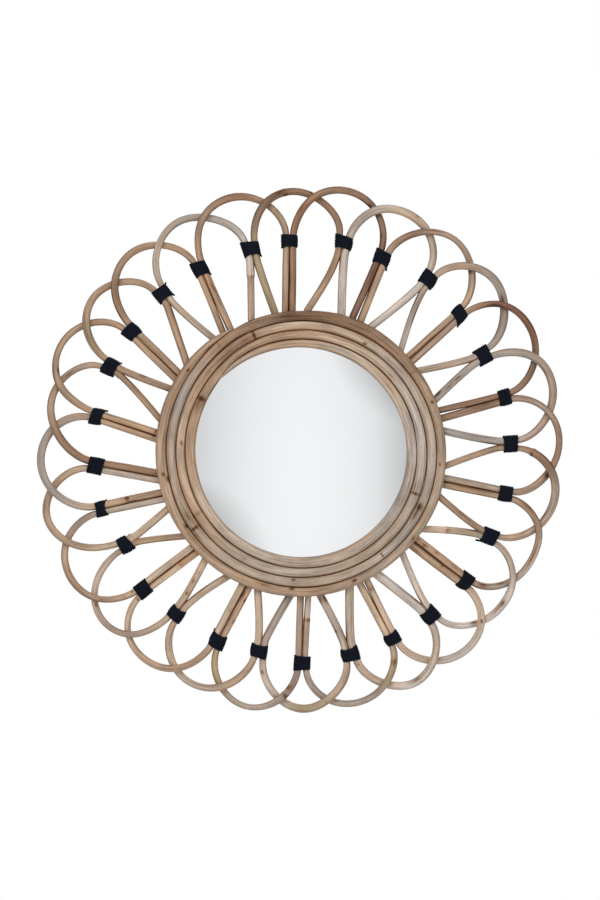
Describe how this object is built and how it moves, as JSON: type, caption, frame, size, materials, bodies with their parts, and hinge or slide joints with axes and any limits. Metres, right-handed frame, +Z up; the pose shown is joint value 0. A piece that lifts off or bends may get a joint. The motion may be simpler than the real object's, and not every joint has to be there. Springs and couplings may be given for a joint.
{
  "type": "wall mirror",
  "caption": "Round wall mirror: flat coiled cane ring around the glass and a frame of overlapping looped cane petals tied with dark cord lashings.",
  "frame": {"origin": "on the wall plane, at the back face of the back board, behind the middle of the petal frame", "axes": "+Z up, the mirror faces -Y, +Y points into the wall, +X to the right as seen from the front"},
  "size_m": [0.6004, 0.0253, 0.6005],
  "materials": {
    "cane_tan": "bare tan cane, satin, with fine lengthwise grain",
    "cane_brown": "bare brown cane, satin, with fine lengthwise grain",
    "cane_grey": "bare greyish cane, satin, with fine lengthwise grain",
    "ring_cane": "bare tan cane, satin",
    "cord": "near-black navy wound cord, matt",
    "mirror": "silvered glass",
    "board": "plain fibreboard, matt",
    "steel": "plain zinc-coated plate"
  },
  "bodies": {
    "root": {"petal_01": "cane_brown", "petal_02": "cane_brown", "petal_03": "cane_grey", "petal_04": "cane_tan", "petal_05": "cane_tan", "petal_06": "cane_tan", "petal_07": "cane_tan", "petal_08": "cane_grey", "petal_09": "cane_tan", "petal_10": "cane_tan", "petal_11": "cane_tan", "petal_12": "cane_tan", "petal_13": "cane_tan", "petal_14": "cane_grey", "petal_15": "cane_grey", "petal_16": "cane_tan", "petal_17": "cane_grey", "petal_18": "cane_grey", "petal_19": "cane_grey", "petal_20": "cane_tan", "petal_21": "cane_tan", "petal_22": "cane_brown", "petal_23": "cane_grey", "petal_24": "cane_brown", "petal_25": "cane_grey", "petal_26": "cane_tan", "petal_27": "cane_grey", "petal_28": "cane_brown", "lashing_01": "cord", "lashing_02": "cord", "lashing_03": "cord", "lashing_04": "cord", "lashing_05": "cord", "lashing_06": "cord", "lashing_07": "cord", "lashing_08": "cord", "lashing_09": "cord", "lashing_10": "cord", "lashing_11": "cord", "lashing_12": "cord", "lashing_13": "cord", "lashing_14": "cord", "lashing_15": "cord", "lashing_16": "cord", "lashing_17": "cord", "lashing_18": "cord", "lashing_19": "cord", "lashing_20": "cord", "lashing_21": "cord", "lashing_22": "cord", "lashing_23": "cord", "lashing_24": "cord", "lashing_25": "cord", "lashing_26": "cord", "lashing_27": "cord", "lashing_28": "cord", "ring_coil": "ring_cane", "mirror_glass": "mirror", "back_board": "board", "hanger_plate": "steel"}
  },
  "joints": []
}
